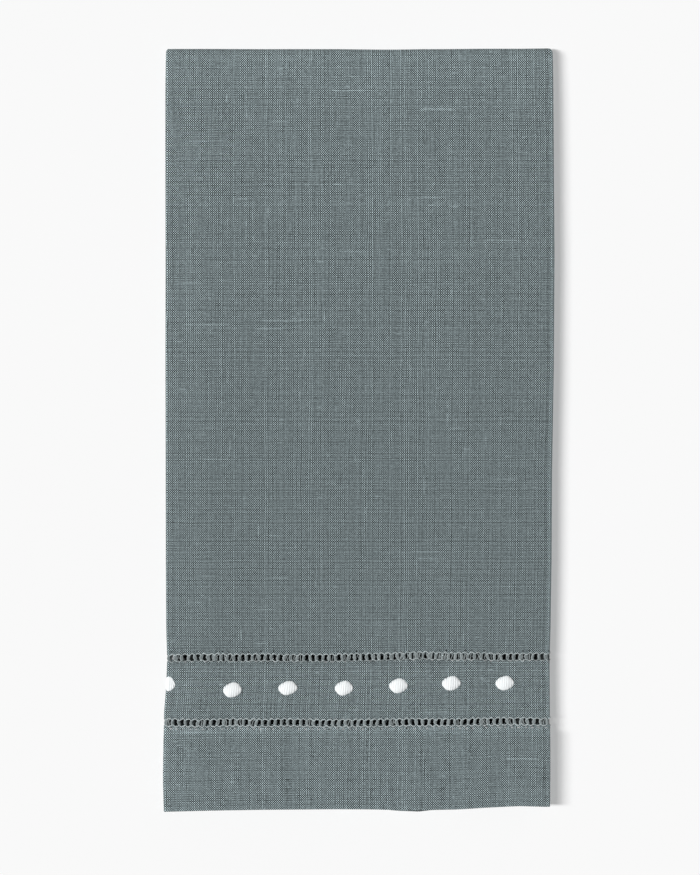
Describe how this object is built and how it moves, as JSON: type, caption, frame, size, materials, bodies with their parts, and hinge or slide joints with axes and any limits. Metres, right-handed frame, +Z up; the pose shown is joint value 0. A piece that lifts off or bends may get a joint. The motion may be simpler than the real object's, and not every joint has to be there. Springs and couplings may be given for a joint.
{
  "type": "folded linen hand towel",
  "caption": "Linen hand towel folded lengthwise in three and then in half, with a deep hem, drawn-thread rows and a row of raised embroidered dots between them.",
  "frame": {"origin": "on the surface under the middle of the folded towel", "axes": "+X across the folded towel to the right, +Y along it to the crosswise fold, the hems at -Y, +Z up out of the front panel"},
  "size_m": [0.18, 0.3516, 0.0105],
  "materials": {
    "linen": "plain-woven slate grey-green linen, matte",
    "embroidery_thread": "white satin-stitched cotton, soft sheen"
  },
  "bodies": {
    "root": {"towel": "linen", "dot_1": "embroidery_thread", "dot_2": "embroidery_thread", "dot_3": "embroidery_thread", "dot_4": "embroidery_thread", "dot_5": "embroidery_thread", "dot_6": "embroidery_thread", "dot_7": "embroidery_thread"}
  },
  "joints": []
}
